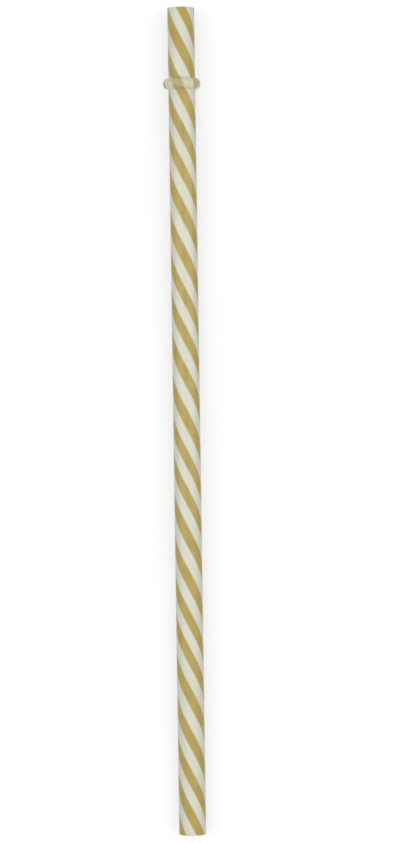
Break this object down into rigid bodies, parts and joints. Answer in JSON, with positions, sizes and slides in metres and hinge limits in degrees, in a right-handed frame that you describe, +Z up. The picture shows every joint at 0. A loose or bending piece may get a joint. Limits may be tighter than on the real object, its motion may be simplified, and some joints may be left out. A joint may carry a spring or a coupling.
{
  "type": "reusable drinking straw",
  "caption": "Long straight hard plastic drinking tube with helical stripes, open from end to end, with a rounded clear stop ring near its drinking end.",
  "frame": {"origin": "bottom centre of the straw's box as it lies on a table: on the table's plane, below the middle of the tube", "axes": "+Y along the straw towards its drinking end, near which the ring sits, +Z up, +X across. The straw rests on its ring and on the rim of its far end, so the tube's axis climbs 0.42 degrees towards +Y"},
  "size_m": [0.011, 0.24, 0.011],
  "materials": {
    "striped_plastic": "hard plastic extruded in gold and off-white stripes of equal width that wind round the tube in a steep left-hand helix, with a soft semi-gloss surface. The base colour is the gold",
    "clear_plastic": "clear, slightly hazy moulded plastic with a faint warm grey tint, through which the stripes show"
  },
  "bodies": {
    "root": {"straw_tube": "striped_plastic", "stop_ring": "clear_plastic"}
  },
  "joints": []
}
